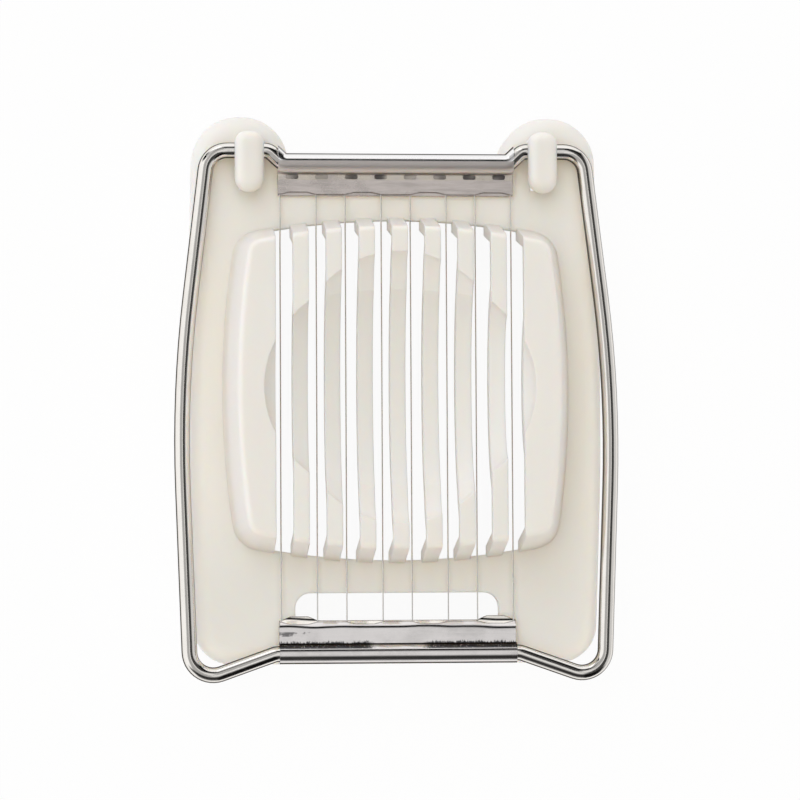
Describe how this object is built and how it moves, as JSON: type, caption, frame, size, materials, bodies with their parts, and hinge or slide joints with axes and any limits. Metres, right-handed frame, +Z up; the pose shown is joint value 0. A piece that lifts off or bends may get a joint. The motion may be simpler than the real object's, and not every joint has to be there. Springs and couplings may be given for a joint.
{
  "type": "egg slicer",
  "caption": "Egg slicer: an ivory plastic tray with a dished, slotted egg cradle, and a hinged steel rod frame strung with thin cutting wires.",
  "frame": {"origin": "on the table under the middle of the whole closed slicer", "axes": "+Y from the handle to the hinge, +Z up, +X to the right when the handle faces the user"},
  "size_m": [0.0972, 0.1242, 0.0255],
  "materials": {
    "ivory_plastic": "semi-gloss moulded",
    "rod_steel": "polished stainless",
    "clip_steel": "rolled stainless sheet",
    "wire_steel": "drawn stainless wire"
  },
  "bodies": {
    "base": {"base_tray": "ivory_plastic"},
    "cutter": {"frame_rod": "rod_steel", "rear_clip": "clip_steel", "front_clip": "clip_steel", "wire_loop_1": "wire_steel", "wire_loop_2": "wire_steel", "wire_loop_3": "wire_steel", "wire_loop_4": "wire_steel"}
  },
  "joints": [
    {"name": "cutter_hinge", "type": "hinge", "parent": "base", "child": "cutter", "pos_m": [0, 0.0539, 0.01561], "axis": [-1, 0, 0], "range_deg": [0, 110]}
  ]
}
